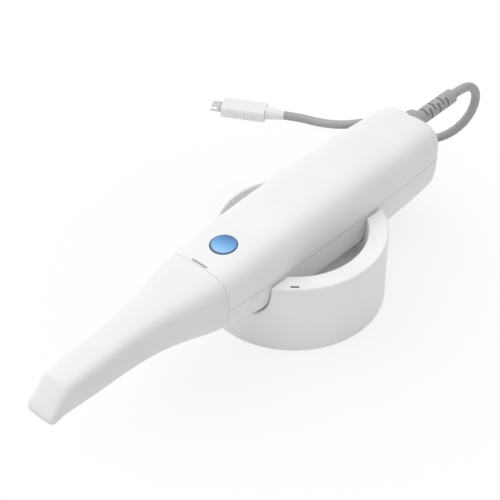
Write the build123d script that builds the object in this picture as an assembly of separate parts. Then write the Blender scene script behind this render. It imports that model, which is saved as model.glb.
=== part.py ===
from build123d import *
from math import asin, atan2, copysign, cos, degrees, pi, radians, sin, sqrt, tan
import os

# Handheld intraoral scanner lying in its round desk cradle, in millimetres.
# X runs along the handpiece, from the scan tip (-X) to the cable (+X), Z is up,
# and the origin is the middle of the cradle's foot, on the desk.

# Cradle: a moulded ring with a floor and two notches that hold the handpiece
cradle_diameter = 95.0
cradle_height = 41.0
cradle_wall = 10.0
cradle_floor = 11.2
cradle_edge_round = 1.0
notch_corner_round = 2.0
notch_side_gap = 0.5
foot_diameter = 84.0
foot_thickness = 1.6
foot_stand = 0.8
weight_diameter = 60.0
weight_thickness = 6.0
cradle_mark_length = 4.3
cradle_mark_width = 1.2
cradle_mark_depth = 0.8
cradle_mark_margin = 2.2
cradle_mark_angle = -138.0

# Clearances
rest_gap = 0.4
slip_gap = 0.3
seam_gap = 0.2
parting_gap = 0.3

# Handpiece: stations along X from the seam between tip and body, with the full
# width, the rise above and the drop below the parting plane at each station
parting_above_cradle = 0.5
seam_from_axis = 68.0
seam_width, seam_rise, seam_drop = 38.6, 17.8, 16.0
thumb_from_seam = 23.0
thumb_width, thumb_rise, thumb_drop = 42.0, 19.5, 21.5
grip_from_seam = 60.0
grip_width, grip_rise, grip_drop = 44.0, 21.0, 25.7
heel_from_seam = 128.0
heel_width, heel_rise, heel_drop = 42.8, 20.6, 26.8
body_length = 163.5
rear_width, rear_rise, rear_drop = 39.6, 18.8, 25.4
flare_from_seam = 17.0
flare_width, flare_rise, flare_drop = 33.2, 16.0, 11.5
throat_from_seam = 32.0
throat_width, throat_rise, throat_drop = 26.0, 14.3, 8.5
neck_from_seam = 52.0
neck_width, neck_rise, neck_drop = 21.2, 12.5, 7.0
shank_from_seam = 72.0
shank_width, shank_rise, shank_drop = 19.9, 11.1, 7.15
head_from_seam = 87.0
head_width, head_rise, head_drop = 18.45, 10.0, 7.3
tip_length = 100.8
end_width = 17.0
upper_squareness = 3.7
lower_squareness = 2.9
shell_wall = 2.2
rear_wall = 3.0
rear_round = 5.5
lip_height = 1.6
lip_wall = 1.1

# Scan tip: a sleeve with a slanted end wall, a mirror behind it and a window below
tip_wall = 2.0
tip_end_slant = 45.0
tip_bend_radius = 5.0
tip_nose_round = 2.5
tip_nose_top_share = 0.4
mirror_thickness = 1.0
mirror_margin = 0.6
window_length = 13.0
window_width = 11.0
window_from_end = 4.5
key_width = 9.4
key_length = 1.2
key_depth = 0.8
key_from_seam = 1.2

# Nose barrel that carries the tip
barrel_wall = 1.8
barrel_seat = 4.5
barrel_slip = 0.5
pane_thickness = 1.5
pane_gap = 0.5

# Scan button, its guide and its switch
button_from_seam = 17.5
button_diameter = 13.2
button_stand = 0.4
button_edge_round = 0.35
button_travel = 0.8
guide_depth = 3.4
guide_wall = 2.4
flange_wall = 1.2
flange_thickness = 1.0
stem_diameter = 4.4
stem_length = 2.2
switch_side = 6.0
switch_height = 3.4
switch_free_gap = 0.15
button_board_length = 28.0
button_board_width = 13.0
board_thickness = 1.2
post_diameter = 3.4

# Optics bed with the projector and the two cameras
bed_below_parting = 5.0
bed_thickness = 3.0
bed_length = 62.0
bed_from_seam = 9.0
bed_side_gap = 0.8
bed_foot_inset = 5.0
boss_diameter = 6.0
projector_length, projector_width, projector_height = 18.0, 13.0, 12.0
projector_from_seam = 40.0
projector_lens_diameter, projector_lens_length = 9.0, 13.0
camera_length, camera_width, camera_height = 13.0, 8.0, 10.0
camera_from_seam = 42.0
camera_spacing = 22.5
camera_lens_diameter, camera_lens_length = 6.6, 9.0
screw_diameter = 2.2
screw_head_diameter = 4.0
screw_head_height = 1.3
screw_length = 7.0

# Main board, its chip, heat sink, cable socket and ribbon
board_from_bed = 4.0
board_length = 74.0
board_side_gap = 3.0
board_foot_inset = 4.0
chip_side = 16.0
chip_height = 1.6
chip_from_front = 24.0
sink_length, sink_width, sink_height = 30.0, 22.0, 9.0
sink_base = 2.0
sink_fins = 6
sink_fin_thickness = 1.3
socket_length, socket_width, socket_height = 8.0, 12.0, 5.0
socket_from_rear = 6.0
ribbon_width = 7.0
ribbon_thickness = 0.4
ribbon_bend = 3.0

# Cable boot: a soft sleeve with staggered slots, held in the rear wall
boot_above_parting = 11.6
boot_flange_diameter = 14.0
boot_flange_thickness = 1.6
boot_root_diameter = 10.6
boot_root_length = 4.5
boot_diameter = 8.2
boot_length = 33.0
boot_collar_length = 2.6
boot_neck_diameter = 7.0
boot_inner_diameter = 10.0
boot_inner_thickness = 2.0
slot_count = 6
slot_width = 1.3
slot_pitch = 3.5
slot_depth = 1.3
slot_web_angle = 44.0
lead_diameter = 3.6
lead_bend = 5.0

# Cable: the free stretches, the tied hank and the plug
cable_diameter = 5.0
hank_x, hank_y = 92.5, 31.0
hank_straight = 44.0
hank_inner_radius = 15.0
hank_outer_radius = 25.0
hank_layers = 3
tie_thickness = 0.6
tie_width = 12.0
plug_relief_length = 11.0
plug_length = 26.0
plug_width = 12.0
plug_height = 7.6
plug_edge_round = 2.2
plug_shell_length, plug_shell_width, plug_shell_height = 6.6, 8.4, 2.6

ARCH_STEPS = 12
CAP_STEPS = 4
OVERLAP = 1.0

parting_z = cradle_height + parting_above_cradle
seam_x = -seam_from_axis
rear_x = seam_x + body_length
tip_end_x = seam_x - tip_length

BODY = [
    (seam_x + seam_gap / 2, seam_width, seam_rise, seam_drop),
    (seam_x + thumb_from_seam, thumb_width, thumb_rise, thumb_drop),
    (seam_x + grip_from_seam, grip_width, grip_rise, grip_drop),
    (seam_x + heel_from_seam, heel_width, heel_rise, heel_drop),
    (rear_x - rear_round, rear_width, rear_rise, rear_drop),
]
REAR_CAP = []
for i in range(CAP_STEPS + 1):
    inset = rear_round * (1 - cos(pi / 2 * i / CAP_STEPS))
    cap_x = rear_x - rear_round + rear_round * sin(pi / 2 * i / CAP_STEPS)
    REAR_CAP.append((cap_x, rear_width - 2 * inset, rear_rise - inset, rear_drop - inset))
TIP = [
    (seam_x - seam_gap / 2, seam_width, seam_rise, seam_drop),
    (seam_x - flare_from_seam, flare_width, flare_rise, flare_drop),
    (seam_x - throat_from_seam, throat_width, throat_rise, throat_drop),
    (seam_x - neck_from_seam, neck_width, neck_rise, neck_drop),
    (seam_x - shank_from_seam, shank_width, shank_rise, shank_drop),
    (seam_x - head_from_seam, head_width, head_rise, head_drop),
]


def section_at(sections, x):
    """Width, rise and drop of the handpiece at x, straight between its stations."""
    rows = sorted(sections)
    for (x0, *low), (x1, *high) in zip(rows, rows[1:]):
        if x <= x1 or (x1, *high) == rows[-1]:
            share = (x - x0) / (x1 - x0)
            return [a + share * (b - a) for a, b in zip(low, high)]


def arch(x, width, reach, squareness, base):
    """Points of half a rounded-square outline in the plane at x, from +Y over to -Y."""
    points = []
    for i in range(ARCH_STEPS + 1):
        turn = pi * i / ARCH_STEPS
        across = copysign(abs(cos(turn)) ** (2 / squareness), cos(turn))
        up = abs(sin(turn)) ** (2 / squareness) if 0 < i < ARCH_STEPS else 0
        points.append((x, width / 2 * across, base + reach * up))
    return points


def arch_edge(points, reach):
    """Smooth edge through an arch, upright at both ends."""
    rise = Vector(0, 0, copysign(1, reach))
    return Edge.make_spline([Vector(*p) for p in points], tangents=[rise, -rise], scale=False)


def half_loft(sections, inset, upper, base_gap, ruled=False):
    """Upper or lower half of the handpiece, cut flat base_gap away from the parting plane."""
    wires = []
    for x, width, rise, drop in sections:
        reach = (rise if upper else drop) - inset - base_gap
        side = 1 if upper else -1
        squareness = upper_squareness if upper else lower_squareness
        points = arch(x, width - 2 * inset, side * reach, squareness, parting_z + side * base_gap)
        wires.append(Wire([arch_edge(points, side), Line(points[-1], points[0])]))
    return Solid.make_loft(wires, ruled)


def ring(x, width, rise, drop, base=0):
    """Closed rounded-square outline in the plane at x, widest at base above the parting plane."""
    top = arch(x, width, rise - base, upper_squareness, parting_z + base)
    low = arch(x, width, -drop - base, lower_squareness, parting_z + base)
    return Wire([arch_edge(top, 1), arch_edge(low, -1)])


def full_loft(sections, inset, ruled=False):
    """Whole rounded-square form through the sections, moved in by inset."""
    wires = [ring(x, width - 2 * inset, rise - inset, drop - inset) for x, width, rise, drop in sections]
    return Solid.make_loft(wires, ruled)


def box_between(x, y, z):
    """Box from three (low, high) pairs."""
    sizes = [high - low for low, high in (x, y, z)]
    middle = [(high + low) / 2 for low, high in (x, y, z)]
    return Pos(*middle) * Box(*sizes)


def upright(x, y, low, high, diameter):
    """Round bar along Z."""
    return Pos(x, y, (low + high) / 2) * Cylinder(diameter / 2, high - low)


def along_x(x0, x1, y, z, diameter):
    """Round bar along X."""
    return Pos((x0 + x1) / 2, y, z) * Rot(0, 90, 0) * Cylinder(diameter / 2, abs(x1 - x0))


def save(shape, node):
    """Write one piece to its own file."""
    export_step(shape, f"parts/{node}.step")


os.makedirs("parts", exist_ok=True)

# Cavity of the body: it follows the outer sections and opens at the seam
CAVITY = [(BODY[0][0] - OVERLAP, *BODY[0][1:]), *BODY[1:-1], (rear_x - rear_wall, *BODY[-1][1:])]
half_gap = parting_gap / 2


def shell_half(upper):
    """One half of the body housing: rounded rear end, hollow inside, open at the seam."""
    form = half_loft(BODY, 0, upper, half_gap) + half_loft(REAR_CAP, 0, upper, half_gap)
    return form, half_loft(CAVITY, shell_wall, upper, half_gap - OVERLAP, ruled=True)


# Scan button frame: origin on the outer skin, Z along the outward normal
button_x = seam_x + button_from_seam
button_tilt = degrees(atan2(thumb_rise - seam_rise, thumb_from_seam))
button_place = Pos(button_x, 0, parting_z + section_at(BODY, button_x)[1]) * Rot(0, -button_tilt, 0)
guide_bore = button_diameter + 2 * slip_gap
flange_top = -guide_depth - slip_gap
stem_low = flange_top - flange_thickness - stem_length
switch_top = stem_low - button_travel - switch_free_gap
button_board_top = switch_top - switch_height
button_post_x = (guide_bore + 2 * flange_wall + 2 * slip_gap + post_diameter) / 2 + slip_gap

# Upper shell with the button guide, two board posts and the cable hole
upper_form, upper_cavity = shell_half(True)
upper_shell = upper_form - upper_cavity
guide = Pos(0, 0, -(guide_depth + shell_wall / 2) / 2) * Cylinder(
    guide_bore / 2 + guide_wall, guide_depth - shell_wall / 2
)
upper_shell += button_place * guide
for side in (-1, 1):
    post_height = -shell_wall / 2 - button_board_top
    post = Pos(side * button_post_x, 0, button_board_top + post_height / 2)
    upper_shell += button_place * post * Cylinder(post_diameter / 2, post_height)
upper_shell -= button_place * Cylinder(guide_bore / 2, 2 * guide_depth + OVERLAP)
boot_z = parting_z + boot_above_parting
upper_shell -= along_x(rear_x - rear_wall - OVERLAP, rear_x + OVERLAP, 0, boot_z,
                       boot_neck_diameter + 2 * slip_gap)

# Index key: a strip set flush in the shell, which shows which way up the tip goes on
key_x = seam_x + key_from_seam
key_top = parting_z + section_at(BODY, key_x)[1]
key_block = box_between((key_x - key_length / 2, key_x + key_length / 2), (-key_width / 2, key_width / 2),
                        (key_top - key_depth, key_top + OVERLAP))
save(upper_form & key_block, "index_key")
upper_shell -= key_block
save(upper_shell, "upper_shell")

# Lower shell with a lip inside the upper one and bosses for the bed and the board
lower_form, lower_cavity = shell_half(False)
lower_shell = lower_form - lower_cavity
lip_front_x = seam_x + barrel_seat + 2 * slip_gap
LIP = [(lip_front_x, *section_at(BODY, lip_front_x)), *BODY[1:-1],
       (rear_x - rear_wall - slip_gap, *BODY[-1][1:])]
lip_core = full_loft(LIP, shell_wall + slip_gap + lip_wall, ruled=True)
for inset, low, high in (
    (shell_wall + slip_gap, -lip_height, lip_height),
    (shell_wall / 2, -lip_height, -half_gap),
):
    band = box_between((seam_x, rear_x), (-grip_width, grip_width), (parting_z + low, parting_z + high))
    lower_shell += (full_loft(LIP, inset, ruled=True) - lip_core) & band


def cavity_half_width(x, below):
    """Half the clear width inside the lower shell, at a depth below the parting plane."""
    width, rise, drop = section_at(BODY, x)
    depth = min(below / (drop - shell_wall), 1)
    return (width / 2 - shell_wall) * (1 - depth ** lower_squareness) ** (1 / lower_squareness)


bed_top = parting_z - bed_below_parting
bed_low = bed_top - bed_thickness
bed_x0 = seam_x + bed_from_seam
bed_x1 = bed_x0 + bed_length
bed_width = 2 * (cavity_half_width(bed_x0, bed_below_parting + bed_thickness) - bed_side_gap)
board_x0 = bed_x1 + board_from_bed
board_x1 = board_x0 + board_length
board_low = bed_low
board_top = board_low + board_thickness
board_width = 2 * (cavity_half_width(board_x1, parting_z - board_low) - board_side_gap)


def corners(x0, x1, width, inset):
    """Four screw places, inset from the corners of a plate."""
    return [(x, y) for x in (x0 + inset, x1 - inset) for y in (inset - width / 2, width / 2 - inset)]


bed_feet = corners(bed_x0, bed_x1, bed_width, bed_foot_inset)
board_feet = corners(board_x0, board_x1, board_width, board_foot_inset)
for x, y in bed_feet + board_feet:
    lower_shell += upright(x, y, 0, bed_low, boss_diameter) & lower_form
screw_bore = screw_diameter + slip_gap
for x, y in bed_feet + board_feet:
    lower_shell -= upright(x, y, bed_low - screw_length, bed_low + OVERLAP, screw_bore)
save(lower_shell, "lower_shell")


def screws(places, seat):
    """Group of pan-head screws that hold a plate down on its bosses."""
    group = []
    for x, y in places:
        shank = upright(x, y, seat - screw_length, seat, screw_diameter)
        head = upright(x, y, seat, seat + screw_head_height, screw_head_diameter)
        group.append(shank + head)
    return Compound(children=group)


# Optics bed: a milled plate on four bosses
optics_bed = box_between((bed_x0, bed_x1), (-bed_width / 2, bed_width / 2), (bed_low, bed_top))
for x, y in bed_feet:
    optics_bed -= upright(x, y, bed_low - OVERLAP, bed_top + OVERLAP, screw_bore)
save(optics_bed, "optics_bed")
save(screws(bed_feet, bed_top), "bed_screws")

# Pattern projector in the middle, with its lens towards the tip
projector_x = seam_x + projector_from_seam
projector_housing = box_between(
    (projector_x, projector_x + projector_length),
    (-projector_width / 2, projector_width / 2),
    (bed_top, bed_top + projector_height),
)
save(projector_housing, "projector_housing")
projector_axis_z = bed_top + projector_height / 2
save(along_x(projector_x - projector_lens_length, projector_x, 0, projector_axis_z, projector_lens_diameter),
     "projector_lens")

# Two cameras, one each side of the projector
camera_x = seam_x + camera_from_seam
camera_axis_z = bed_top + camera_height / 2
for name, side in (("left", 1), ("right", -1)):
    middle = side * camera_spacing / 2
    camera = box_between((camera_x, camera_x + camera_length),
                         (middle - camera_width / 2, middle + camera_width / 2),
                         (bed_top, bed_top + camera_height))
    save(camera, f"camera_{name}")
    lens = along_x(camera_x - camera_lens_length, camera_x, middle, camera_axis_z, camera_lens_diameter)
    save(lens, f"camera_lens_{name}")

# Main board with the processor, its heat sink and the cable socket
main_board = box_between((board_x0, board_x1), (-board_width / 2, board_width / 2), (board_low, board_top))
for x, y in board_feet:
    main_board -= upright(x, y, board_low - OVERLAP, board_top + OVERLAP, screw_bore)
save(main_board, "main_board")
save(screws(board_feet, board_top), "board_screws")
chip_x = board_x0 + chip_from_front
chip_top = board_top + chip_height
save(box_between((chip_x, chip_x + chip_side), (-chip_side / 2, chip_side / 2), (board_top, chip_top)),
     "processor_chip")
sink_x = chip_x + chip_side / 2
heat_sink = box_between((sink_x - sink_length / 2, sink_x + sink_length / 2),
                        (-sink_width / 2, sink_width / 2), (chip_top, chip_top + sink_base))
fin_pitch = (sink_width - sink_fin_thickness) / (sink_fins - 1)
for i in range(sink_fins):
    fin_y = -sink_width / 2 + i * fin_pitch
    heat_sink += box_between((sink_x - sink_length / 2, sink_x + sink_length / 2),
                             (fin_y, fin_y + sink_fin_thickness), (chip_top, chip_top + sink_height))
save(heat_sink, "heat_sink")
socket_x1 = board_x1 - socket_from_rear
socket_top = board_top + socket_height
save(box_between((socket_x1 - socket_length, socket_x1), (-socket_width / 2, socket_width / 2),
                 (board_top, socket_top)), "cable_socket")

# Nose barrel: plugs the front of the body and carries the tip
seat_x = seam_x + barrel_seat
nose_x = seam_x - throat_from_seam
barrel_inset = shell_wall + barrel_slip
BARREL = [(seat_x, *section_at(BODY, seat_x)), (seam_x, *TIP[0][1:]), *TIP[1:3]]
CHANNEL = [(seat_x + OVERLAP, *BARREL[0][1:]), *BARREL[1:3], (nose_x - OVERLAP, *BARREL[3][1:])]
nose_barrel = full_loft(BARREL, barrel_inset, ruled=True)
nose_barrel -= full_loft(CHANNEL, barrel_inset + barrel_wall, ruled=True)
save(nose_barrel, "nose_barrel")
pane_slab = box_between((nose_x, nose_x + pane_thickness), (-grip_width, grip_width), (0, 2 * parting_z))
save(full_loft(CHANNEL, barrel_inset + barrel_wall + pane_gap, ruled=True) & pane_slab, "nose_window")

# End of the tip: its top bends down to the slant, and its front edges are rounded
head_x = seam_x - head_from_seam
end_run = tip_length - head_from_seam
slant = radians(tip_end_slant)
head_slope = atan2(shank_rise - head_rise, head_from_seam - shank_from_seam)
bend_run = tip_bend_radius * (sin(slant) - sin(head_slope))
bend_fall = tip_bend_radius * (cos(head_slope) - cos(slant))
nose_from = end_run - tip_nose_round


def slant_fall(run):
    """Fall of the tip's top line from the head, a given run in front of it."""
    if run < bend_run:
        turn = asin(sin(head_slope) + run / tip_bend_radius)
        return tip_bend_radius * (cos(head_slope) - cos(turn))
    return bend_fall + (run - bend_run) * tan(slant)


def end_ring(run):
    """Outline of the tip, a given run in front of the head."""
    inset = tip_nose_round - sqrt(tip_nose_round ** 2 - max(0, run - nose_from) ** 2)
    width = head_width + (end_width - head_width) * run / end_run - 2 * inset
    rise = head_rise - slant_fall(run) - tip_nose_top_share * inset
    drop = head_drop - inset
    return ring(head_x - run, width, rise, drop, min(0, 0.45 * (rise + drop) - drop))


bend_runs = [bend_run * i / CAP_STEPS for i in range(CAP_STEPS + 1)]
nose_runs = [nose_from + tip_nose_round * sin(pi / 2 * i / CAP_STEPS) for i in range(CAP_STEPS + 1)]
tip_form = full_loft(TIP, 0)
for runs in (bend_runs, (bend_run, nose_from), nose_runs):
    tip_form += Solid.make_loft([end_ring(run) for run in runs])

# Scan tip: hollow sleeve, slanted end wall, window below the mirror
TIP_BORE = [(TIP[0][0] + OVERLAP, *TIP[0][1:]), *TIP[1:], (tip_end_x + tip_wall, *TIP[-1][1:])]
slant_place = Pos(head_x - bend_run, 0, parting_z + head_rise - bend_fall) * Rot(0, -tip_end_slant, 0)
slant_size = 2 * tip_length
tip_core = full_loft(TIP_BORE, tip_wall, ruled=True)
tip_core -= slant_place * Pos(0, 0, slant_size / 2 - tip_wall) * Box(slant_size, slant_size, slant_size)
window_x0 = tip_end_x + window_from_end
window = box_between((window_x0, window_x0 + window_length), (-window_width / 2, window_width / 2),
                     (0, parting_z - head_drop + tip_wall + OVERLAP))
save(tip_form - tip_core - window, "tip_sleeve")

# Mirror: a pane glued behind the slanted wall
mirror_block = Pos(0, 0, -tip_wall - mirror_thickness / 2) * Box(slant_size, slant_size, mirror_thickness)
mirror_core = full_loft(TIP_BORE, tip_wall + mirror_margin, ruled=True)
save((slant_place * mirror_block) & mirror_core, "tip_mirror")

# Scan button, its switch and its board, in the button's own frame
button_radius = button_diameter / 2
cap_low = flange_top - flange_thickness
cap = Pos(0, 0, (button_stand + cap_low) / 2) * Cylinder(button_radius, button_stand - cap_low)
cap = fillet(cap.edges().sort_by(Axis.Z)[-1], button_edge_round)
cap += Pos(0, 0, flange_top - flange_thickness / 2) * Cylinder(guide_bore / 2 + flange_wall, flange_thickness)
cap += Pos(0, 0, (cap_low + stem_low) / 2) * Cylinder(stem_diameter / 2, cap_low - stem_low)
save(button_place * cap, "scan_button")
switch = Pos(0, 0, switch_top - switch_height / 2) * Box(switch_side, switch_side, switch_height)
save(button_place * switch, "button_switch")
button_board = Pos(0, 0, button_board_top - board_thickness / 2) * Box(
    button_board_length, button_board_width, board_thickness
)
save(button_place * button_board, "button_board")

# Ribbon from the button board over the projector to the main board
ribbon_start = (button_place * Pos(button_board_length / 2 - ribbon_bend / 2, 0, button_board_top)).position
ribbon_z = ribbon_start.Z + ribbon_bend * tan(radians(button_tilt)) + ribbon_thickness
ribbon_low = board_top + ribbon_thickness
ribbon_path = FilletPolyline(
    (ribbon_start.X, ribbon_z),
    (bed_x1 - ribbon_bend, ribbon_z),
    (board_x0, ribbon_low),
    (board_x0 + 2 * ribbon_bend, ribbon_low),
    radius=ribbon_bend,
)
ribbon = Plane.XZ * trace(ribbon_path, ribbon_thickness)
save(extrude(ribbon, ribbon_width / 2, both=True), "ribbon_cable")

# Cable boot: flange fitted to the rounded rear, neck through the wall, staggered slots
boot_end_x = rear_x + boot_length
boot = along_x(rear_x - rear_round, rear_x + boot_flange_thickness, 0, boot_z, boot_flange_diameter) - upper_form
root_x = rear_x + boot_flange_thickness
boot += Pos(root_x + boot_root_length / 2, 0, boot_z) * Rot(0, 90, 0) * Cone(
    boot_root_diameter / 2, boot_diameter / 2, boot_root_length
)
boot += along_x(root_x + boot_root_length, boot_end_x, 0, boot_z, boot_diameter)
slots_x = root_x + boot_root_length + slot_width
for i in range(slot_count):
    slot_x = slots_x + i * slot_pitch
    slot = along_x(slot_x, slot_x + slot_width, 0, boot_z, boot_diameter + OVERLAP)
    slot -= along_x(slot_x - OVERLAP, slot_x + slot_width + OVERLAP, 0, boot_z, boot_diameter - 2 * slot_depth)
    web_half = boot_diameter / 2 * sin(radians(slot_web_angle / 2))
    web = box_between((slot_x - OVERLAP, slot_x + slot_width + OVERLAP), (-boot_diameter, boot_diameter),
                      (-web_half, web_half))
    web_turn = 90 * (i % 2)
    slot -= Pos(0, 0, boot_z) * Rot(web_turn, 0, 0) * web
    boot -= slot
inner_x1 = rear_x - rear_wall - slip_gap
inner_x0 = inner_x1 - boot_inner_thickness
boot += along_x(inner_x0, rear_x + boot_flange_thickness, 0, boot_z, boot_neck_diameter)
boot += along_x(inner_x0, inner_x1, 0, boot_z, boot_inner_diameter)
save(boot, "cable_boot")

# Lead inside the body, from the boot down to the socket
lead_x = socket_x1 - socket_length / 2
lead_path = FilletPolyline((inner_x0, 0, boot_z), (lead_x, 0, boot_z), (lead_x, 0, socket_top), radius=lead_bend)
save(sweep(Plane(lead_path @ 0, z_dir=lead_path % 0) * Circle(lead_diameter / 2), path=lead_path), "inner_lead")

# Free cable: hand-chosen points, with each corner rounded as widely as its runs allow
lane_low = tie_thickness + cable_diameter / 2
lane_step = cable_diameter * sin(radians(60))
lane_top = lane_low + lane_step * (hank_layers - 1)
right_turn_x = hank_x + hank_straight / 2


def on_lane(radius, angle, z):
    """Point on the hank's end turn nearer the cable boot."""
    return (right_turn_x + radius * cos(radians(angle)), hank_y + radius * sin(radians(angle)), z)


lead_route = [
    (boot_end_x, 0, boot_z),
    (139.5, 0, boot_z),
    (148.2, 0, 49.6),
    (154.6, 0.5, 41.5),
    (156, 1.8, 31),
    (154, 5, 20.8),
    (150.5, 10.5, 12),
    (146.5, 17.5, 6),
    (142.3, 26.5, lane_low),
    on_lane(hank_outer_radius, 12, lane_low),
]
plug_z = plug_height / 2
tail_route = [
    on_lane((hank_inner_radius + hank_outer_radius) / 2, 40, lane_top),
    (122.5, 52.5, 13),
    (118, 62, 9),
    (116.5, 72.5, 5),
    (114.5, 82.5, 3),
    (110.5, 91.5, plug_z),
    (106, 99.5, plug_z),
]


def cable_run(route, name):
    """Round cable along a route, each corner's radius set by its shorter run and its turn."""
    points = [Vector(*p) for p in route]
    radii = []
    for before, here, after in zip(points, points[1:], points[2:]):
        turn = (here - before).get_angle(after - here)
        shorter = min((here - before).length, (after - here).length)
        radii.append(0.45 * shorter / tan(radians(turn / 2)))
    path = FilletPolyline(*points, radius=radii)
    tube = sweep(Plane(path @ 0, z_dir=path % 0) * Circle(cable_diameter / 2), path=path)
    expected = pi * cable_diameter ** 2 / 4 * path.length
    print(name, "length", round(path.length, 1), "radii", [round(r, 1) for r in radii],
          "volume share", round(tube.volume / expected, 4))
    return tube


save(cable_run(lead_route, "cable_lead"), "cable_lead")
save(cable_run(tail_route, "cable_tail"), "cable_tail")

# Tied hank: the outer shape of its turns, widest in the lowest layer
hank_low = tie_thickness
hank_high = lane_top + cable_diameter / 2
hank_reach = hank_outer_radius + cable_diameter / 2
hank_hole = hank_inner_radius - cable_diameter / 2
hank_draw_in = cable_diameter
draw_in_angle = degrees(atan2(hank_draw_in, hank_high - hank_low))
hank_place = Pos(hank_x, hank_y, hank_low)
hank = extrude(SlotCenterToCenter(hank_straight, 2 * hank_reach), hank_high - hank_low, taper=draw_in_angle)
hank -= extrude(SlotCenterToCenter(hank_straight, 2 * hank_hole), hank_high - hank_low)
save(hank_place * hank, "cable_hank")

# Tie round the near run of the hank
near, far = hank_y - hank_reach, hank_y - hank_hole
run_section = make_face(Polyline(
    (near, hank_low), (far, hank_low), (far, hank_high), (near + hank_draw_in, hank_high), close=True
))
tie_section = offset(run_section, tie_thickness, kind=Kind.INTERSECTION) - run_section
tie_plane = Plane((hank_x, 0, 0), x_dir=(0, 1, 0), z_dir=(1, 0, 0))
save(extrude(tie_plane * tie_section, tie_width / 2, both=True), "cable_tie")

# Plug on the end of the cable, lying on the desk
plug_from, plug_to = Vector(*tail_route[-2]), Vector(*tail_route[-1])
plug_heading = degrees(atan2(plug_to.Y - plug_from.Y, plug_to.X - plug_from.X))
plug_place = Pos(*tail_route[-1]) * Rot(0, 0, plug_heading)
plug = Pos(plug_relief_length + plug_length / 2, 0, 0) * Box(plug_length, plug_width, plug_height)
plug = fillet(plug.edges().filter_by(Axis.X), plug_edge_round)
plug += Pos(plug_relief_length / 2, 0, 0) * Rot(0, 90, 0) * Cone(
    cable_diameter / 2, plug_height / 2, plug_relief_length
)
save(plug_place * plug, "plug_body")
shell_x = plug_relief_length + plug_length
plug_shell = Pos(shell_x + plug_shell_length / 2, 0, 0) * Box(
    plug_shell_length, plug_shell_width, plug_shell_height
)
plug_shell = fillet(plug_shell.edges().filter_by(Axis.X), plug_shell_height * 0.45)
save(plug_place * plug_shell, "plug_shell")

# Cradle: ring with a floor, cut by the two notches that the body rests in, with its rims and notches
# rounded in one chain, and a weight in the pocket that the foot closes
cradle_radius = cradle_diameter / 2
hollow_radius = cradle_radius - cradle_wall
weight_high = foot_thickness + weight_thickness
cradle = upright(0, 0, foot_stand, cradle_height, cradle_diameter)
cradle -= upright(0, 0, foot_stand + cradle_floor, cradle_height + OVERLAP, 2 * hollow_radius)
cradle -= upright(0, 0, 0, foot_thickness, foot_diameter)
cradle -= upright(0, 0, 0, weight_high + slip_gap, weight_diameter + 2 * slip_gap)
cradle = Rot(0, 0, 90) * cradle
for side in (-1, 1):
    wall = sorted((side * hollow_radius, side * (cradle_radius + OVERLAP)))
    slab = box_between(wall, (-cradle_diameter, cradle_diameter), (0, parting_z))
    held = (lower_form & slab).bounding_box()
    notch_half = held.max.Y + notch_side_gap
    notch_low = held.min.Z - rest_gap
    side_z = cradle_height - notch_corner_round
    cup = arch(0, 2 * notch_half, notch_low - parting_z, lower_squareness, parting_z)
    cup[0], cup[-1] = (0, notch_half, side_z), (0, -notch_half, side_z)
    outer = notch_half + notch_corner_round
    rim = cradle_height + OVERLAP
    swell = notch_corner_round * sin(radians(45))
    notch = [arch_edge(cup, -1)]
    for hand in (-1, 1):
        notch.append(ThreePointArc((0, hand * notch_half, side_z), (0, hand * (outer - swell), side_z + swell),
                                   (0, hand * outer, cradle_height)))
        notch.append(Line((0, hand * outer, cradle_height), (0, hand * outer, rim)))
    notch.append(Line((0, -outer, rim), (0, outer, rim)))
    cradle -= extrude(Face(Wire(notch)), cradle_diameter, dir=(side, 0, 0))
rims = [edge for edge in cradle.edges() if edge.geom_type != GeomType.LINE
        and edge.bounding_box().max.Z > cradle_height - 2 * notch_corner_round]
cradle = fillet(rims, cradle_edge_round)
mark_place = Rot(0, 0, cradle_mark_angle) * Pos(cradle_radius - cradle_mark_margin, 0, cradle_height)
mark = mark_place * Pos(0, 0, -cradle_mark_depth / 2) * Box(
    cradle_mark_width, cradle_mark_length, cradle_mark_depth
)
cradle -= mark
save(cradle, "cradle_ring")
save(mark, "cradle_mark")
save(upright(0, 0, 0, foot_thickness, foot_diameter), "cradle_foot")
save(upright(0, 0, foot_thickness, weight_high, weight_diameter), "cradle_weight")
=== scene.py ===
from math import copysign, cos, radians, sin

import bpy
from mathutils import Matrix, Vector


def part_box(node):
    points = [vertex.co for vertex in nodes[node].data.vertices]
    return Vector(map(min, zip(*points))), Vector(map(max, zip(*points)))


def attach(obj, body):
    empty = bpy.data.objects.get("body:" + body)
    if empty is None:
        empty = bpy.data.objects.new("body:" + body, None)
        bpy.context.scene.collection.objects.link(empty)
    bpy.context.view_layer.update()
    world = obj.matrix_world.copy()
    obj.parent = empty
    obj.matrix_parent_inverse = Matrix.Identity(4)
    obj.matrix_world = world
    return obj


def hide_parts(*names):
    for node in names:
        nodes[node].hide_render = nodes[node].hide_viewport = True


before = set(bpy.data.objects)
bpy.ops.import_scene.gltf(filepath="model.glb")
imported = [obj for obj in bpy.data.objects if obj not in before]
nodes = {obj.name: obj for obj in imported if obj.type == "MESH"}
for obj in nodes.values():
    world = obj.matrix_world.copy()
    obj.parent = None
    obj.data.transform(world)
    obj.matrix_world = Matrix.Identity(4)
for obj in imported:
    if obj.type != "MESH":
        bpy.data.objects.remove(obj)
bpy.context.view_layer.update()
scene = bpy.context.scene
scene.view_settings.view_transform = "Standard"


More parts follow.
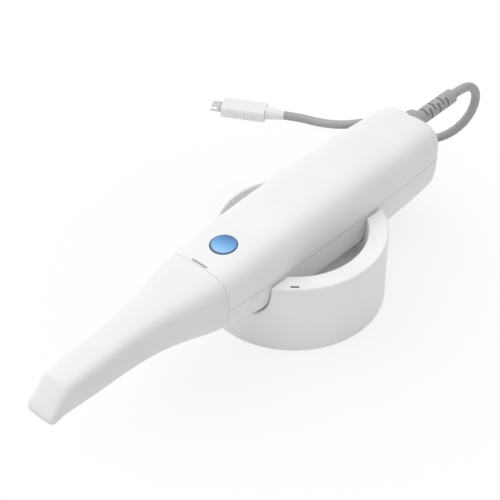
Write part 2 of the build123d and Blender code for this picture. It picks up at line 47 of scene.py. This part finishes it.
# Body shells: two injection-moulded white halves with a satin polish, which meet at the parting line
# and are held in line by a lip inside. The moulding has a fine skin and a faint unevenness of colour
# and gloss.
class Term:
    """A node's socket. Arithmetic on it adds Math nodes, and node() adds any other node."""

    def __init__(self, tree, socket):
        self.tree = tree
        self.socket = socket

    def node(self, kind, settings, inputs, output=0):
        """Add a node: its settings first, then the values or links of its sockets."""
        made = self.tree.nodes.new(kind if "Node" in kind else "ShaderNode" + kind)
        stops = settings.pop("stops", None)
        for name, value in settings.items():
            setattr(made, name, value)
        if stops:
            ramp = made.color_ramp.elements
            while len(ramp) < len(stops):
                ramp.new(1)
            for element, (place, colour) in zip(ramp, stops):
                element.position = place
                element.color = (*colour, 1)
        for name, value in inputs.items():
            for item in value if isinstance(value, list) else [value]:
                if isinstance(item, Term):
                    self.tree.links.new(item.socket, made.inputs[name])
                else:
                    made.inputs[name].default_value = item
        return Term(self.tree, made.outputs[output])

    def maths(self, operation, first, second):
        return self.node("Math", {"operation": operation}, {0: first, 1: second})

    def __add__(self, other):
        return self.maths("ADD", self, other)

    def __radd__(self, other):
        return self.maths("ADD", other, self)

    def __sub__(self, other):
        return self.maths("SUBTRACT", self, other)

    def __rsub__(self, other):
        return self.maths("SUBTRACT", other, self)

    def __mul__(self, other):
        return self.maths("MULTIPLY", self, other)

    def __rmul__(self, other):
        return self.maths("MULTIPLY", other, self)

    def __truediv__(self, other):
        return self.maths("DIVIDE", self, other)

    def __rtruediv__(self, other):
        return self.maths("DIVIDE", other, self)

    def __pow__(self, other):
        return self.maths("POWER", self, other)

    def step(self, low, high):
        """0 below low, 1 above high, smooth between."""
        return self.node("MapRange", {"interpolation_type": "SMOOTHSTEP"},
                         {"Value": self, "From Min": low, "From Max": high, "To Min": 0, "To Max": 1})

    def blend(self, first, second):
        """Colour that goes from first to second as this value goes from 0 to 1."""
        return self.node("Mix", {"data_type": "RGBA"}, {0: self, 6: first, 7: second}, 2)


def new_material(name):
    """Empty material: the material, its Principled shader and a Term on the object's coordinates."""
    material = bpy.data.materials.new(name)
    material.use_nodes = True
    tree = material.node_tree
    tree.nodes.clear()
    shader = tree.nodes.new("ShaderNodeBsdfPrincipled")
    end = tree.nodes.new("ShaderNodeOutputMaterial")
    tree.links.new(shader.outputs[0], end.inputs[0])
    place = Term(tree, tree.nodes.new("ShaderNodeTexCoord").outputs["Object"])
    return material, shader, place


def feed(shader, **inputs):
    """Set or link a shader's sockets, named with _ for spaces."""
    for name, value in inputs.items():
        socket = shader.inputs[name.replace("_", " ")]
        if isinstance(value, Term):
            value.tree.links.new(value.socket, socket)
        else:
            socket.default_value = value


def moulding(name, colour, roughness, coat, grain, grain_depth, mottle=0.02):
    """Moulded plastic: fine eroded grain, faint cloudiness of colour and gloss."""
    material, shader, place = new_material(name)
    clouds = place.node("TexNoise", {}, {"Vector": place, "Scale": 28, "Detail": 3})
    skin = place.node("TexNoise", {}, {"Vector": place, "Scale": grain, "Detail": 2, "Roughness": 0.6})
    dark = tuple(c * (1 - mottle) for c in colour)
    pale = tuple(min(1, c * (1 + mottle)) for c in colour)
    feed(
        shader,
        Base_Color=clouds.step(0.3, 0.7).blend((*dark, 1), (*pale, 1)),
        Roughness=roughness + 0.08 * (clouds - 0.5) + 0.06 * (skin - 0.5),
        Normal=skin.node("Bump", {}, {"Strength": 0.25, "Distance": grain_depth, "Height": skin}),
        Coat_Weight=coat,
        Coat_Roughness=0.12,
        IOR=1.5,
    )
    return material


def wear(material, *names):
    """Give CAD pieces this material."""
    for name in names:
        mesh = nodes[name].data
        mesh.materials.clear()
        mesh.materials.append(material)


body_white = moulding("body_white", (0.875, 0.875, 0.88), 0.46, 0.08, 5200, 0.00004)
wear(body_white, "upper_shell", "lower_shell")

# Scan tip: a hollow white sleeve of a plastic that stands steam, so it is duller than the body.
# It pushes over the barrel up to the seam, and a mirror is glued behind its slanted end.
tip_white = moulding("tip_white", (0.86, 0.86, 0.865), 0.58, 0.0, 4200, 0.00005)
wear(tip_white, "tip_sleeve")
mirror, mirror_shader, mirror_place = new_material("mirror")
haze = mirror_place.node("TexNoise", {}, {"Vector": mirror_place, "Scale": 300, "Detail": 2})
feed(mirror_shader, Base_Color=(0.92, 0.93, 0.95, 1), Metallic=1.0, Roughness=0.02 + 0.04 * haze)
wear(mirror, "tip_mirror")

# Nose barrel: a dark light-absorbing moulding that plugs the front of the body and carries the tip.
# Its mouth is closed by a coated pane, and a grey strip set flush in the upper shell shows which way
# round the tip goes on.
barrel_dark = moulding("barrel_dark", (0.045, 0.045, 0.05), 0.55, 0.0, 2600, 0.0001, 0.1)
wear(barrel_dark, "nose_barrel")
mark_grey = moulding("mark_grey", (0.36, 0.37, 0.39), 0.45, 0.0, 3000, 0.00005, 0.05)
wear(mark_grey, "index_key")


def optical_glass(name, tint):
    """Coated glass with a faint tint."""
    material, shader, place = new_material(name)
    bloom = place.node("TexNoise", {}, {"Vector": place, "Scale": 120, "Detail": 2})
    feed(shader, Base_Color=bloom.blend((*tint, 1), (0.92, 0.95, 0.98, 1)), Roughness=0.02 + 0.03 * bloom,
         Transmission_Weight=0.9, IOR=1.52, Coat_Weight=0.4, Coat_Roughness=0.03)
    return material


pane_glass = optical_glass("pane_glass", (0.8, 0.88, 0.95))
wear(pane_glass, "nose_window")

# Optics: projector and cameras in black anodised blocks on a milled plate, with coated lenses.
# Pan-head screws hold the plate to bosses in the lower shell.
lens_glass = optical_glass("lens_glass", (0.45, 0.4, 0.75))
wear(lens_glass, "projector_lens", "camera_lens_left", "camera_lens_right")


def metal(name, colour, roughness, lay, lay_depth):
    """Machined metal, with tool marks across X or along it."""
    material, shader, place = new_material(name)
    stretched = place.node("Mapping", {}, {"Vector": place, "Scale": lay})
    marks = place.node("TexNoise", {}, {"Vector": stretched, "Scale": 1, "Detail": 3})
    low = tuple(c * 0.85 for c in colour)
    feed(shader, Base_Color=marks.blend((*low, 1), (*colour, 1)), Metallic=1.0,
         Roughness=roughness + 0.15 * (marks - 0.5),
         Normal=marks.node("Bump", {}, {"Strength": 0.2, "Distance": lay_depth, "Height": marks}))
    return material


milled = metal("milled_aluminium", (0.78, 0.79, 0.8), 0.32, (200, 4000, 4000), 0.00003)
black_metal = metal("black_anodised", (0.05, 0.05, 0.055), 0.45, (3000, 3000, 300), 0.00003)
steel = metal("stamped_steel", (0.66, 0.67, 0.69), 0.28, (3500, 500, 3500), 0.00002)
wear(milled, "optics_bed", "heat_sink")
wear(black_metal, "projector_housing", "camera_left", "camera_right")
wear(steel, "bed_screws", "board_screws")

# Electronics: solder-masked boards with copper runs under the mask, moulded chips and sockets, and
# an amber ribbon from the button's board to the main one.
board_green, board_shader, board_place = new_material("board_green")
grid = board_place.node("TexBrick", {"offset": 0.5},
                        {"Vector": board_place, "Scale": 160, "Mortar Size": 0.12, "Mortar Smooth": 0.2}, 1)
feed(board_shader, Base_Color=grid.blend((0.015, 0.12, 0.055, 1), (0.04, 0.24, 0.11, 1)),
     Roughness=0.32 + 0.1 * grid, Coat_Weight=0.3,
     Normal=grid.node("Bump", {}, {"Strength": 0.3, "Distance": 0.00003, "Height": grid}))
wear(board_green, "button_board", "main_board")
chip_black = moulding("chip_black", (0.03, 0.03, 0.033), 0.5, 0.0, 3500, 0.00004, 0.1)
wear(chip_black, "button_switch", "processor_chip", "cable_socket")
amber = moulding("ribbon_amber", (0.45, 0.2, 0.03), 0.3, 0.3, 2500, 0.00002, 0.1)
wear(amber, "ribbon_cable")

# Scan button: a round translucent blue cap in a guide of the upper shell. Its colour carries painted light:
# a painted gradient, paler towards the tip and darker away from it, a painted shade round its rim, and a
# faint painted glow.
button_low, button_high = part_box("scan_button")
button_middle = (button_low + button_high) / 2
button_radius = 0.0066
button_blue, button_shader, button_place = new_material("button_blue")
offset = button_place.node("VectorMath", {"operation": "SUBTRACT"},
                           {0: button_place, 1: (button_middle.x, button_middle.y, 0)})
east = offset.node("SeparateXYZ", {}, {0: offset}, 0)
north = offset.node("SeparateXYZ", {}, {0: offset}, 1)
radius = (east * east + north * north) ** 0.5 / button_radius
along = (0.97 * east + 0.24 * north) / button_radius
# painted light: the blue is paler towards the tip and darker away from it, standing in for how light falls
# on the cap
painted_light_ramp = along.node("ValToRGB", {"stops": [(0.0, (0.3, 0.55, 0.82)), (0.45, (0.11, 0.36, 0.72)),
                                         (1.0, (0.01, 0.085, 0.25))]}, {"Fac": along * 0.5 + 0.5})
# painted shade darkens the rim; the same painted gradient also feeds a faint emission, a painted glow
feed(button_shader, Base_Color=radius.step(0.86, 0.98).blend(painted_light_ramp, (0.02, 0.09, 0.25, 1)),
     Roughness=0.22 + 0.1 * radius.step(0.8, 1.0), Coat_Weight=0.6, Coat_Roughness=0.08, IOR=1.5,
     Emission_Color=radius.step(0.86, 0.98).blend(painted_light_ramp, (0, 0, 0, 1)), Emission_Strength=0.15)
wear(button_blue, "scan_button")

# Cable boot: a soft grey strain relief moulded over the cable, with staggered slots that let it
# bend. Its flange seats on the rounded rear end of the body.
jacket_grey = moulding("jacket_grey", (0.39, 0.395, 0.4), 0.5, 0.0, 2800, 0.00008, 0.05)
wear(jacket_grey, "cable_boot", "inner_lead")

# Cable: one limp grey lead of about 1.2 m. It drops behind the body, where most of it is folded
# into a tied hank, and its end runs out to the plug.
boot_end = (0.1285, 0, 0.0531)
cable_radius = 0.0025
hank_x, hank_y = 0.0925, 0.031
hank_half = 0.022
lane_low = 0.0031
lane_step = 0.00433
plug_z = 0.0038
lead_points = [
    boot_end,
    (0.1395, 0, 0.0531),
    (0.1482, 0, 0.0496),
    (0.1546, 0.0005, 0.0415),
    (0.156, 0.0018, 0.031),
    (0.154, 0.005, 0.0208),
    (0.1505, 0.0105, 0.012),
    (0.1465, 0.0175, 0.006),
    (0.1423, 0.0265, lane_low),
]
tail_points = [
    (0.1225, 0.0525, 0.013),
    (0.118, 0.062, 0.009),
    (0.1165, 0.0725, 0.005),
    (0.1145, 0.0825, 0.003),
    (0.1105, 0.0915, plug_z),
    (0.106, 0.0995, plug_z),
]
right_far = [("turn", 1, 22.5), ("turn", 1, 67.5)]
far_run = [("run", 1, 0.015), ("run", 1, 0), ("run", 1, -0.015)]
left_turn = [("turn", -1, 112.5), ("turn", -1, 157.5), ("turn", -1, 202.5), ("turn", -1, 247.5)]
near_run = [("run", -1, -0.015), ("run", -1, 0), ("run", -1, 0.015)]
right_near = [("turn", 1, -67.5), ("turn", 1, -22.5)]
lap = right_far + far_run + left_turn + near_run + right_near
middle = lane_step
top = 2 * lane_step
lift = 0.0007
turns = [
    [(25, 0)] * 9 + [(25, 0), (22.5, 0), (20, 0)] + [(20, 0)] * 2,
    [(20, 0)] * 9 + [(20, 0), (17.5, 0), (15, 0)] + [(15, 0)] * 2,
    [(15, 0)] * 6 + [(15, 0.0022), (16.2, 0.004), (17.5, middle)] + [(17.5, middle + lift)] * 3
    + [(17.5, middle)] * 2,
    [(17.5, middle)] * 3 + [(19, middle), (21.5, middle)] + [(22.5, middle)] * 4
    + [(22.5, middle + lift)] * 3 + [(22.5, middle)] * 2,
    [(22.5, middle)] * 2 + [(21.5, middle + 0.0028), (20, top + lift), (20, top + lift)] + [(20, top)] * 4
    + [(20, top + lift)] * 3 + [(20, top)] * 2,
    [(20, top)],
]
swell = 1 / cos(radians(22.5))
hank_points = []
for lanes in turns:
    for (kind, side, place), (lane, height) in zip(lap, lanes):
        reach = lane / 1000
        if kind == "turn":
            x = hank_x + side * hank_half + swell * reach * cos(radians(place))
            y = hank_y + swell * reach * sin(radians(place))
        else:
            x = hank_x + place
            y = hank_y + side * reach
        hank_points.append((x, y, lane_low + height))
cable_points = lead_points + hank_points + tail_points
cable_curve = bpy.data.curves.new("cable", "CURVE")
cable_curve.dimensions = "3D"
spline = cable_curve.splines.new("NURBS")
spline.points.add(len(cable_points) - 1)
for point, place in zip(spline.points, cable_points):
    point.co = (*place, 1)
spline.order_u = 3
spline.use_endpoint_u = True
spline.resolution_u = 6
cable_curve.bevel_depth = cable_radius
cable_curve.bevel_resolution = 6
cable_curve.use_fill_caps = True
cable_curve.materials.append(jacket_grey)
cable = bpy.data.objects.new("cable", cable_curve)
scene.collection.objects.link(cable)
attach(cable, "handpiece")
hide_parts("cable_lead", "cable_hank", "cable_tail")

# Plug: a white moulding with a tapered relief, lying on the desk at the end of the cable. Its steel
# shell is drawn from sheet, open at the mouth and lined in black, and low ribs on the moulding's two
# sides give the fingers a hold.
plug_white = moulding("plug_white", (0.85, 0.85, 0.855), 0.4, 0.1, 4200, 0.00005)
wear(plug_white, "plug_body")
plug_end = (0.106, 0.0995, plug_z)
plug_turn = radians(119.36)
plug_place = Matrix.Translation(plug_end) @ Matrix.Rotation(plug_turn, 4, "Z")
shell_from, shell_to = 0.037, 0.0436
shell_half_width, shell_half_height = 0.0042, 0.0013
shell_corner = 0.00117
shell_sheet = 0.00035
shell_lip = 0.0001
mouth_depth = 0.0052
ring_points = 32


def shell_ring(x, inset):
    """Rounded outline across the plug's shell, x along the plug and moved in by inset."""
    ring = []
    for i in range(ring_points):
        turn = radians(360 * (i + 0.5) / ring_points)
        y = copysign(shell_half_width - shell_corner, cos(turn)) + (shell_corner - inset) * cos(turn)
        z = copysign(shell_half_height - shell_corner, sin(turn)) + (shell_corner - inset) * sin(turn)
        ring.append((x, y, z))
    return ring


mouth_rings = [
    shell_ring(shell_from, 0),
    shell_ring(shell_to - shell_lip, 0),
    shell_ring(shell_to, shell_lip),
    shell_ring(shell_to, shell_sheet - shell_lip),
    shell_ring(shell_to - shell_lip, shell_sheet),
    shell_ring(shell_to - mouth_depth, shell_sheet),
]
walls = []
for row in range(len(mouth_rings) - 1):
    for i in range(ring_points):
        here, there = row * ring_points, (row + 1) * ring_points
        after = (i + 1) % ring_points
        walls.append((here + i, here + after, there + after, there + i))
back = list(reversed(range(ring_points)))
bottom = [(len(mouth_rings) - 1) * ring_points + i for i in range(ring_points)]
mouth_mesh = bpy.data.meshes.new("plug_mouth")
mouth_mesh.from_pydata([point for ring in mouth_rings for point in ring], [], walls + [back, bottom])
mouth_mesh.transform(plug_place)
mouth_mesh.materials.append(steel)
mouth_mesh.materials.append(chip_black)
for face in mouth_mesh.polygons:
    face.use_smooth = len(face.vertices) == 4
    face.material_index = int(min(face.vertices) >= 4 * ring_points)
plug_mouth = bpy.data.objects.new("plug_mouth", mouth_mesh)
scene.collection.objects.link(plug_mouth)
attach(plug_mouth, "handpiece")
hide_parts("plug_shell")


def new_growth(name, **sizes):
    """Geometry Nodes tree with named sizes: the tree, a Term on the geometry and one on each size."""
    tree = bpy.data.node_groups.new(name, "GeometryNodeTree")
    tree.interface.new_socket("Geometry", in_out="INPUT", socket_type="NodeSocketGeometry")
    tree.interface.new_socket("Geometry", in_out="OUTPUT", socket_type="NodeSocketGeometry")
    for size, value in sizes.items():
        kind = "NodeSocketInt" if isinstance(value, int) else "NodeSocketFloat"
        tree.interface.new_socket(size, in_out="INPUT", socket_type=kind)
    start = tree.nodes.new("NodeGroupInput")
    tree.nodes.new("NodeGroupOutput")
    return tree, [Term(tree, start.outputs[i]) for i in range(len(sizes) + 1)]


def grow(piece, tree, sizes, result):
    """Run a tree on a piece, and return a plain mesh object of what it makes."""
    end = next(node for node in tree.nodes if node.bl_idname == "NodeGroupOutput")
    tree.links.new(result.socket, end.inputs[0])
    modifier = piece.modifiers.new(tree.name, "NODES")
    modifier.node_group = tree
    for socket in tree.interface.items_tree:
        if socket.name in sizes:
            modifier[socket.identifier] = sizes[socket.name]
    scene.collection.objects.link(piece)
    seen = piece.evaluated_get(bpy.context.evaluated_depsgraph_get())
    mesh = bpy.data.meshes.new_from_object(seen)
    piece.modifiers.remove(modifier)
    bpy.data.objects.remove(piece)
    made = bpy.data.objects.new(tree.name, mesh)
    scene.collection.objects.link(made)
    return made


rib_sizes = {"count": 7, "pitch": 0.0022, "start": 0.0168, "side": 0.0059, "thick": 0.0006, "tall": 0.0021}
tree, (blank, count, pitch, start, side, thick, tall) = new_growth("plug_ribs", **rib_sizes)
row = blank.node("GeometryNodeMeshLine", {}, {
    "Count": count,
    "Start Location": blank.node("CombineXYZ", {}, {"X": start, "Y": side}),
    "Offset": blank.node("CombineXYZ", {}, {"X": pitch}),
})
rib = blank.node("GeometryNodeMeshUVSphere", {}, {"Segments": 12, "Rings": 8, "Radius": thick})
near_row = blank.node("GeometryNodeInstanceOnPoints", {}, {
    "Points": row,
    "Instance": rib,
    "Scale": blank.node("CombineXYZ", {}, {"X": 1, "Y": 1, "Z": tall / thick}),
})
far_row = blank.node("GeometryNodeTransform", {}, {
    "Geometry": near_row, "Translation": blank.node("CombineXYZ", {}, {"Y": side * -2})})
rows = blank.node("GeometryNodeJoinGeometry", {}, {"Geometry": [near_row, far_row]})
rows = blank.node("GeometryNodeTransform", {}, {
    "Geometry": rows, "Translation": plug_end, "Rotation": (0, 0, plug_turn)})
rows = blank.node("GeometryNodeRealizeInstances", {}, {"Geometry": rows})
rows = blank.node("GeometryNodeSetShadeSmooth", {}, {"Geometry": rows})
rows = blank.node("GeometryNodeSetMaterial", {}, {"Geometry": rows, "Material": plug_white})
rib_seed = bpy.data.objects.new("plug_rib_seed", bpy.data.meshes.new("plug_rib_seed"))
plug_ribs = grow(rib_seed, tree, rib_sizes, rows)
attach(plug_ribs, "handpiece")

# Tie: a woven hook-and-loop strap closed round the near run of the hank, with its free end laid over
# its start and a row of stitches along each edge.
tie_cloth, tie_shader, tie_place = new_material("tie_cloth")
across = tie_place.node("TexWave", {"wave_type": "BANDS", "bands_direction": "X"},
                        {"Vector": tie_place, "Scale": 500, "Distortion": 0.6, "Detail": 1})
fuzz = tie_place.node("TexNoise", {}, {"Vector": tie_place, "Scale": 2600, "Detail": 3})
weave = 0.6 * across + 0.4 * fuzz
feed(tie_shader, Base_Color=weave.blend((0.05, 0.052, 0.056, 1), (0.17, 0.172, 0.18, 1)),
     Roughness=0.8 + 0.15 * (fuzz - 0.5),
     Normal=weave.node("Bump", {}, {"Strength": 0.6, "Distance": 0.0002, "Height": weave}))
thread_grey = moulding("thread_grey", (0.3, 0.3, 0.31), 0.7, 0.0, 6000, 0.0001, 0.15)
tie_thick = 0.0005
tie_reach = cable_radius + tie_thick / 2 + 0.00003
bundle = {
    "low_near": (0.0085, lane_low),
    "low_far": (0.0135, lane_low),
    "mid_far": (0.0135, lane_low + 0.00503),
    "crown": (0.011, lane_low + 0.00936),
    "mid_near": (0.0085, lane_low + 0.00503),
}
layer = tie_thick + 0.00008
tie_wrap = [("mid_near", (165, 180), 0, 0), ("low_near", (180, 202, 225, 247, 270), 0, 0),
            ("low_far", (270, 292, 315, 337, 360), 0, 0), ("mid_far", (0, 15, 30), 0, 0),
            ("crown", (30, 50, 70, 90, 110, 130, 150), 0, 0.6), ("mid_near", (150, 165, 180), 1, 1)]
tie_points = []
for cable_name, angles, first, last in tie_wrap:
    middle_y, middle_z = bundle[cable_name]
    for i, angle in enumerate(angles):
        lap_share = first + (last - first) * max(0, i - 2) / max(1, len(angles) - 3)
        reach = tie_reach + layer * lap_share
        y = middle_y + reach * cos(radians(angle))
        z = middle_z + reach * sin(radians(angle))
        tie_points.append((hank_x, y, z))
tie_points.append((hank_x, tie_points[-1][1], tie_points[-1][2] - 0.003))
tie_curve = bpy.data.curves.new("tie_path", "CURVE")
tie_curve.dimensions = "3D"
path = tie_curve.splines.new("POLY")
path.points.add(len(tie_points) - 1)
for point, place in zip(path.points, tie_points):
    point.co = (*place, 1)
tie_sizes = {"wide": 0.012, "thick": tie_thick, "gap": 0.0016, "edge": 0.0047}
tree, (loop, wide, thick, gap, edge) = new_growth("cable_strap", **tie_sizes)
band = loop.node("GeometryNodeCurvePrimitiveQuadrilateral", {}, {"Width": wide, "Height": thick})
band = loop.node("GeometryNodeFilletCurve", {}, {"Curve": band, "Radius": thick * 0.4})
strap = loop.node("GeometryNodeCurveToMesh", {}, {"Curve": loop, "Profile Curve": band, "Fill Caps": True})
strap = loop.node("GeometryNodeSetMaterial", {}, {"Geometry": strap, "Material": tie_cloth})
seam = loop.node("GeometryNodeResampleCurve", {"mode": "LENGTH"}, {"Curve": loop, "Length": gap})
run = loop.node("GeometryNodeInputTangent", {}, {})
aside = loop.node("GeometryNodeInputNormal", {}, {})
turn = loop.node("FunctionNodeAxesToRotation", {"primary_axis": "Z", "secondary_axis": "X"},
                 {"Primary Axis": run, "Secondary Axis": aside})
stitch = loop.node("GeometryNodeMeshUVSphere", {}, {"Segments": 8, "Rings": 6, "Radius": thick * 0.6})
stitches = loop.node("GeometryNodeInstanceOnPoints", {}, {
    "Points": seam, "Instance": stitch, "Rotation": turn, "Scale": (0.6, 1, 1.7)})
seams = [strap]
for hand in (-1, 1):
    shift = loop.node("CombineXYZ", {}, {"X": edge * hand})
    line = loop.node("GeometryNodeTransform", {}, {"Geometry": stitches, "Translation": shift})
    line = loop.node("GeometryNodeRealizeInstances", {}, {"Geometry": line})
    line = loop.node("GeometryNodeSetShadeSmooth", {}, {"Geometry": line})
    seams.append(loop.node("GeometryNodeSetMaterial", {}, {"Geometry": line, "Material": thread_grey}))
sewn = loop.node("GeometryNodeJoinGeometry", {}, {"Geometry": seams})
tie = grow(bpy.data.objects.new("tie_path", tie_curve), tree, tie_sizes, sewn)
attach(tie, "handpiece")
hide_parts("cable_tie")

# Cradle: a round white moulding with a satin skin. Two notches hold the body, a small dark mark is
# set in its rim, and a steel disc in its floor and a soft pad keep it still on the desk.
cradle_white = moulding("cradle_white", (0.92, 0.92, 0.925), 0.45, 0.05, 4000, 0.00005)
wear(cradle_white, "cradle_ring")
mark_dark = moulding("mark_dark", (0.1, 0.12, 0.15), 0.45, 0.0, 3000, 0.00005, 0.05)
wear(mark_dark, "cradle_mark")
pad_rubber = moulding("pad_rubber", (0.06, 0.06, 0.062), 0.8, 0.0, 1500, 0.0002, 0.15)
wear(pad_rubber, "cradle_foot")
wear(steel, "cradle_weight")

# Desk and background: one white sheet that keeps the soft shadow near the object and goes over to
# plain white further out.
floor_mesh = bpy.data.meshes.new("floor")
reach = 6.0
floor_mesh.from_pydata([(-reach, -reach, 0), (reach, -reach, 0), (reach, reach, 0), (-reach, reach, 0)], [],
                       [(0, 1, 2, 3)])
floor = bpy.data.objects.new("floor", floor_mesh)
floor.location.z = -0.0002
scene.collection.objects.link(floor)
floor_white, floor_shader, floor_place = new_material("floor_white")
feed(floor_shader, Base_Color=(0.9, 0.9, 0.9, 1), Roughness=0.9, Specular_IOR_Level=0.1)


def seen_in(tree):
    """1 for what the camera sees, straight or by way of metal and glass, and 0 for other light."""
    light_path = tree.nodes.new("ShaderNodeLightPath")
    seen = Term(tree, light_path.outputs["Is Camera Ray"])
    for ray in ("Is Glossy Ray", "Is Transmission Ray"):
        seen = seen.maths("MAXIMUM", seen, Term(tree, light_path.outputs[ray]))
    return seen


tree = floor_white.node_tree
seen = seen_in(tree)
distance = floor_place.node("VectorMath", {"operation": "LENGTH"}, {0: floor_place}, 1)
white = tree.nodes.new("ShaderNodeEmission")
white.inputs["Strength"].default_value = 1.0
mixed = tree.nodes.new("ShaderNodeMixShader")
tree.links.new((seen * (0.8 + 0.2 * distance.step(0.06, 0.17))).socket, mixed.inputs[0])
tree.links.new(floor_shader.outputs[0], mixed.inputs[1])
tree.links.new(white.outputs[0], mixed.inputs[2])
tree.links.new(mixed.outputs[0], tree.nodes["Material Output"].inputs[0])
floor_mesh.materials.append(floor_white)

# Studio light: one broad soft box above and behind, in a pale room, with enough bounces for the light
# to reach the bottom of the white cradle.
scene.cycles.max_bounces = 16
scene.cycles.diffuse_bounces = 12
world = bpy.data.worlds.new("room")
scene.world = world
world.use_nodes = True
sky = world.node_tree.nodes["Background"]
seen_sky = seen_in(world.node_tree)
room_level = 0.56
world.node_tree.links.new((seen_sky * (1 - room_level) + room_level).socket, sky.inputs["Strength"])
sky.inputs["Color"].default_value = (1, 1, 1, 1)


def soft_box(name, place, aim, width, depth, power):
    """Rectangular soft light that faces a point."""
    lamp = bpy.data.lights.new(name, "AREA")
    lamp.shape = "RECTANGLE"
    lamp.size = width
    lamp.size_y = depth
    lamp.energy = power
    box = bpy.data.objects.new(name, lamp)
    box.location = place
    box.rotation_mode = "QUATERNION"
    box.rotation_quaternion = (Vector(aim) - Vector(place)).to_track_quat("-Z", "Y")
    scene.collection.objects.link(box)


soft_box("key", (-0.2, 0.55, 1.35), (0, 0, 0.04), 1.8, 1.8, 15)

# Camera: level, at the photograph's height and angle.
lens = bpy.data.cameras.new("camera")
lens.lens = 107.4
lens.sensor_width = 36.0
lens.clip_start = 0.01
lens.clip_end = 20
camera = bpy.data.objects.new("camera", lens)
camera.location = (-0.4343, -0.369, 0.5185)
camera.rotation_mode = "QUATERNION"
camera.rotation_quaternion = Vector((0.557, 0.511, -0.655)).to_track_quat("-Z", "Y")
scene.collection.objects.link(camera)
scene.camera = camera
